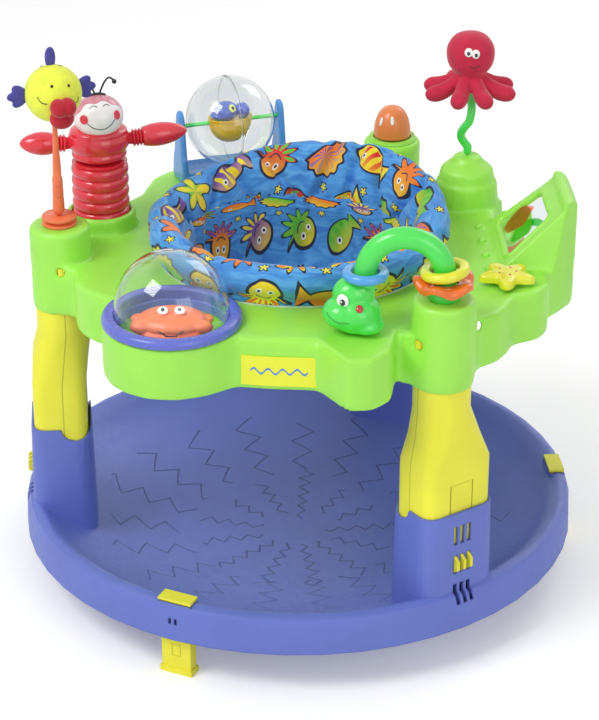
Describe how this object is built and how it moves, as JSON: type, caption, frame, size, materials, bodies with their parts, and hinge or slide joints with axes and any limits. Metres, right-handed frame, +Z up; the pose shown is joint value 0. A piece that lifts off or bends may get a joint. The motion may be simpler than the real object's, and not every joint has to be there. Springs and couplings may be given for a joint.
{
  "type": "baby activity center",
  "caption": "Round rocking saucer on stabiliser feet that carries, on height-adjusting legs, a ring-shaped toy tray with a padded swivel seat for an infant.",
  "frame": {"origin": "on the floor under the middle of the saucer", "axes": "+Z up, -Y towards the front stabiliser foot, +X to the right as seen from the front"},
  "size_m": [0.76, 0.76, 0.742],
  "materials": {
    "base_blue": "satin",
    "leg_yellow": "satin",
    "tray_green": "satin",
    "arch_green": "gloss",
    "bezel_purple": "gloss",
    "clear": "clear gloss",
    "crab_orange": "satin",
    "bead_orange": "gloss",
    "bead_yellow": "gloss",
    "bead_blue": "gloss",
    "stand_blue": "gloss",
    "puppet_red": "gloss",
    "puppet_white": "gloss",
    "black": "matt",
    "plush_crimson": "plush",
    "plush_yellow": "plush",
    "plush_purple": "plush",
    "fabric_blue": "printed cotton",
    "ring_white": "matt",
    "mirror_silver": "mirror",
    "spring_steel": "bright"
  },
  "bodies": {
    "base": {"base_saucer": "base_blue"},
    "foot_front": {"foot_front": "leg_yellow"},
    "foot_right": {"foot_right": "leg_yellow"},
    "foot_left": {"foot_left": "leg_yellow"},
    "tray": {"tray_deck": "tray_green", "leg_left": "leg_yellow", "leg_right": "leg_yellow", "leg_rear": "leg_yellow", "mirror_panel": "mirror_silver", "label_plate": "bead_yellow", "arch_tube": "arch_green", "arch_head": "arch_green", "ball_stand": "stand_blue", "ball_axle": "arch_green", "puppet_bellows": "puppet_red", "fish_spool": "bead_orange", "button_collar": "tray_green", "crab_spring": "spring_steel", "rear_button_spring": "spring_steel"},
    "latch_left": {"height_latch_left": "leg_yellow"},
    "latch_right": {"height_latch_right": "leg_yellow"},
    "latch_rear": {"height_latch_rear": "leg_yellow"},
    "seat": {"seat_ring": "ring_white", "seat_retainer": "ring_white", "seat_cushion": "fabric_blue", "seat_bucket": "fabric_blue"},
    "bead_yellow": {"ring_yellow": "bead_yellow"},
    "bead_blue": {"ring_blue": "bead_blue"},
    "bead_wave": {"ring_wave": "bead_orange"},
    "star": {"star_button": "bead_yellow"},
    "dome": {"dome_bezel": "bezel_purple", "dome_shell": "clear"},
    "crab": {"crab_body": "crab_orange"},
    "fish": {"fish_stem": "bead_orange", "fish_body": "plush_yellow", "fish_lips": "plush_crimson", "fish_fin_top": "plush_purple", "fish_fin_right": "plush_purple", "fish_fin_left": "plush_purple"},
    "puppet": {"puppet_torso": "puppet_red", "puppet_head": "puppet_white", "puppet_feelers": "black"},
    "puppet_arm_right": {"puppet_arm_right": "puppet_red"},
    "puppet_arm_left": {"puppet_arm_left": "puppet_red"},
    "ball": {"ball_half_left": "clear", "ball_half_right": "clear"},
    "bird": {"bird_body": "bead_yellow", "bird_wings": "plush_purple"},
    "rear_button": {"rear_button": "bead_orange"},
    "octopus": {"wavy_stem": "arch_green", "octopus_head": "plush_crimson", "octopus_arm_1": "plush_crimson", "octopus_arm_2": "plush_crimson", "octopus_arm_3": "plush_crimson", "octopus_arm_4": "plush_crimson", "octopus_arm_5": "plush_crimson", "octopus_arm_6": "plush_crimson", "octopus_arm_7": "plush_crimson", "octopus_arm_8": "plush_crimson"}
  },
  "joints": [
    {"name": "foot_front_slide", "type": "slide", "parent": "base", "child": "foot_front", "axis": [0, 0, 1], "range_m": [0, 0.048]},
    {"name": "foot_right_slide", "type": "slide", "parent": "base", "child": "foot_right", "axis": [0, 0, 1], "range_m": [0, 0.048]},
    {"name": "foot_left_slide", "type": "slide", "parent": "base", "child": "foot_left", "axis": [0, 0, 1], "range_m": [0, 0.048]},
    {"name": "height_adjust", "type": "slide", "parent": "base", "child": "tray", "axis": [0, 0, 1], "range_m": [-0.042, 0.042], "deforming": ["height_latch_left", "height_latch_right", "height_latch_rear"]},
    {"name": "latch_left_press", "type": "hinge", "parent": "tray", "child": "latch_left", "pos_m": [-0.31238, -0.18035, 0.2605], "axis": [0.5, -0.866, 0], "range_deg": [0, 6.5], "stiffness_Nm_per_rad": 0.6, "springref_deg": -3.44},
    {"name": "latch_right_press", "type": "hinge", "parent": "tray", "child": "latch_right", "pos_m": [0.31238, -0.18035, 0.2605], "axis": [0.5, 0.866, 0], "range_deg": [0, 6.5], "stiffness_Nm_per_rad": 0.6, "springref_deg": -3.44},
    {"name": "latch_rear_press", "type": "hinge", "parent": "tray", "child": "latch_rear", "pos_m": [0, 0.3607, 0.2605], "axis": [-1, 0, 0], "range_deg": [0, 6.5], "stiffness_Nm_per_rad": 0.6, "springref_deg": -3.44},
    {"name": "seat_swivel", "type": "hinge", "parent": "tray", "child": "seat", "pos_m": [0, 0, 0.457], "axis": [0, 0, 1], "continuous": true},
    {"name": "yellow_bead_run", "type": "hinge", "parent": "tray", "child": "bead_yellow", "pos_m": [0.22802, -0.17582, 0.531], "axis": [0.3637, -0.9315, 0], "range_deg": [0, 50]},
    {"name": "blue_bead_run", "type": "hinge", "parent": "tray", "child": "bead_blue", "pos_m": [0.22802, -0.17582, 0.531], "axis": [-0.3637, 0.9315, 0], "range_deg": [0, 50]},
    {"name": "wave_bead_spin", "type": "hinge", "parent": "tray", "child": "bead_wave", "pos_m": [0.27366, -0.158, 0.52], "axis": [0, 0, 1], "continuous": true},
    {"name": "star_press", "type": "slide", "parent": "tray", "child": "star", "axis": [0, 0, -1], "range_m": [0, 0.004], "stiffness_N_per_m": 150, "springref_m": -0.006},
    {"name": "dome_spin", "type": "hinge", "parent": "tray", "child": "dome", "pos_m": [-0.04509, -0.27533, 0.457], "axis": [0, 0, 1], "continuous": true},
    {"name": "crab_wobble", "type": "hinge", "parent": "tray", "child": "crab", "pos_m": [-0.04509, -0.27533, 0.431], "axis": [0.9063, 0.4226, 0], "range_deg": [-6, 6], "stiffness_Nm_per_rad": 0.8, "deforming": ["crab_spring"]},
    {"name": "fish_sway", "type": "hinge", "parent": "tray", "child": "fish", "pos_m": [-0.27366, -0.158, 0.5219], "axis": [0.5, -0.866, 0], "range_deg": [-12, 12], "stiffness_Nm_per_rad": 6},
    {"name": "puppet_press", "type": "slide", "parent": "tray", "child": "puppet", "axis": [0, 0, -1], "range_m": [0, 0.012], "stiffness_N_per_m": 700, "springref_m": -0.012, "deforming": ["puppet_bellows"]},
    {"name": "puppet_arm_right_bend", "type": "hinge", "parent": "puppet", "child": "puppet_arm_right", "pos_m": [-0.24619, -0.01738, 0.5763], "axis": [0.6157, -0.788, 0], "range_deg": [-10, 10], "stiffness_Nm_per_rad": 1.2},
    {"name": "puppet_arm_left_bend", "type": "hinge", "parent": "puppet", "child": "puppet_arm_left", "pos_m": [-0.30766, -0.0654, 0.5763], "axis": [0.6157, -0.788, 0], "range_deg": [-10, 10], "stiffness_Nm_per_rad": 1.2},
    {"name": "ball_spin", "type": "hinge", "parent": "tray", "child": "ball", "pos_m": [-0.19566, 0.18895, 0.54], "axis": [-0.7193, -0.6947, 0], "continuous": true},
    {"name": "bird_swing", "type": "hinge", "parent": "tray", "child": "bird", "pos_m": [-0.19566, 0.18895, 0.54], "axis": [-0.7193, -0.6947, 0], "range_deg": [-25, 25]},
    {"name": "rear_button_press", "type": "slide", "parent": "tray", "child": "rear_button", "axis": [0, 0, -1], "range_m": [0, 0.005], "stiffness_N_per_m": 300, "springref_m": -0.006, "deforming": ["rear_button_spring"]},
    {"name": "octopus_sway", "type": "hinge", "parent": "tray", "child": "octopus", "pos_m": [0.1425, 0.24682, 0.5306], "axis": [-0.866, 0.5, 0], "range_deg": [-10, 10], "stiffness_Nm_per_rad": 8}
  ]
}
